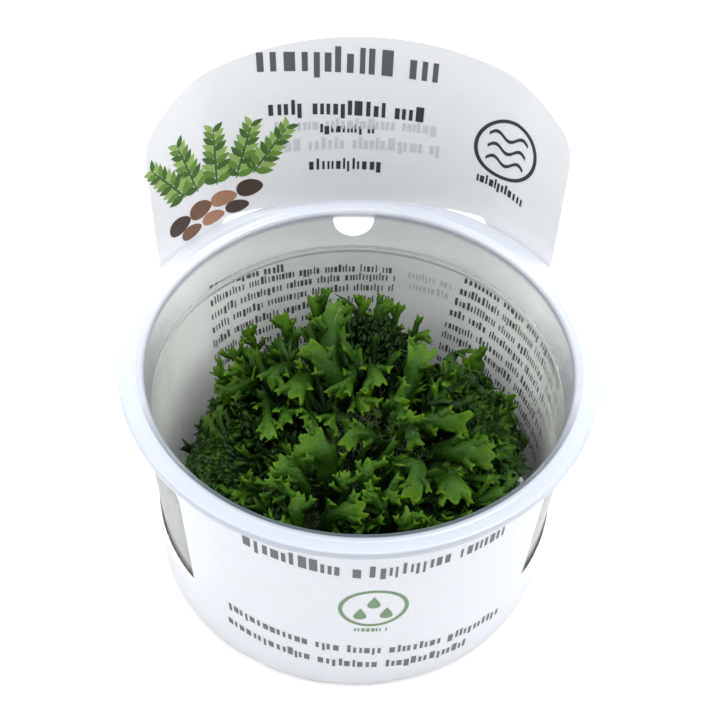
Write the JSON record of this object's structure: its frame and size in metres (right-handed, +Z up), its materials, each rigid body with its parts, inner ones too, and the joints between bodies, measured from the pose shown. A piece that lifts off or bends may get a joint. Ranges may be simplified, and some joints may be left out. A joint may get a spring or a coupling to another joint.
{
  "type": "tissue culture monosolenium tenerum",
  "caption": "Liverwort (Monosolenium tenerum) raised in tissue culture: a dense green mound in a clear round plastic tub, wrapped in a white card sleeve with a tall header.",
  "frame": {"origin": "middle of the tub's underside, on the surface it stands on", "axes": "+Z up along the tub's axis; +Y towards the sleeve's tall header, -Y towards its front panel; +X to the right seen from the front"},
  "size_m": [0.101, 0.101, 0.1036],
  "materials": {
    "clear_plastic": "clear injection-moulded plastic, slightly milky at the rim",
    "printed_card": "smooth white coated card with grey and green print",
    "liverwort_dark": "moist dark green plant tissue, satin",
    "liverwort_bright": "moist bright green plant tissue, satin with wet glints"
  },
  "bodies": {
    "root": {"tub": "clear_plastic", "card_sleeve": "printed_card", "liverwort_cushion": "liverwort_dark", "thallus_back_arm": "liverwort_bright", "thallus_back_hook": "liverwort_bright", "thallus_back_slim": "liverwort_bright", "thallus_back_stag": "liverwort_bright", "thallus_broad_lobe": "liverwort_bright", "thallus_crown_back": "liverwort_bright", "thallus_crown_lobe": "liverwort_bright", "thallus_front_arch": "liverwort_bright", "thallus_front_bow": "liverwort_bright", "thallus_front_broad": "liverwort_bright", "thallus_front_curtain": "liverwort_bright", "thallus_front_fork": "liverwort_bright", "thallus_front_horn": "liverwort_bright", "thallus_front_paw": "liverwort_bright", "thallus_front_shoot": "liverwort_bright", "thallus_front_stem": "liverwort_bright", "thallus_front_twig": "liverwort_bright", "thallus_left_blunt": "liverwort_bright", "thallus_left_cap": "liverwort_bright", "thallus_left_club": "liverwort_bright", "thallus_left_drop": "liverwort_bright", "thallus_left_fan": "liverwort_bright", "thallus_left_hand": "liverwort_bright", "thallus_left_prong": "liverwort_bright", "thallus_left_sprig": "liverwort_bright", "thallus_left_strap": "liverwort_bright", "thallus_left_vee": "liverwort_bright", "thallus_lobe_arm": "liverwort_bright", "thallus_long_arch": "liverwort_bright", "thallus_long_strap": "liverwort_bright", "thallus_mid_blade": "liverwort_bright", "thallus_mid_curl": "liverwort_bright", "thallus_mid_fork": "liverwort_bright", "thallus_mid_hand": "liverwort_bright", "thallus_mid_sprig": "liverwort_bright", "thallus_right_edge": "liverwort_bright", "thallus_right_hand": "liverwort_bright", "thallus_right_lobe": "liverwort_bright", "thallus_saw_ribbon": "liverwort_bright", "thallus_star_arm": "liverwort_bright", "thallus_tall_strap": "liverwort_bright", "thallus_tee_arm": "liverwort_bright", "thallus_tongue": "liverwort_bright"}
  },
  "joints": []
}
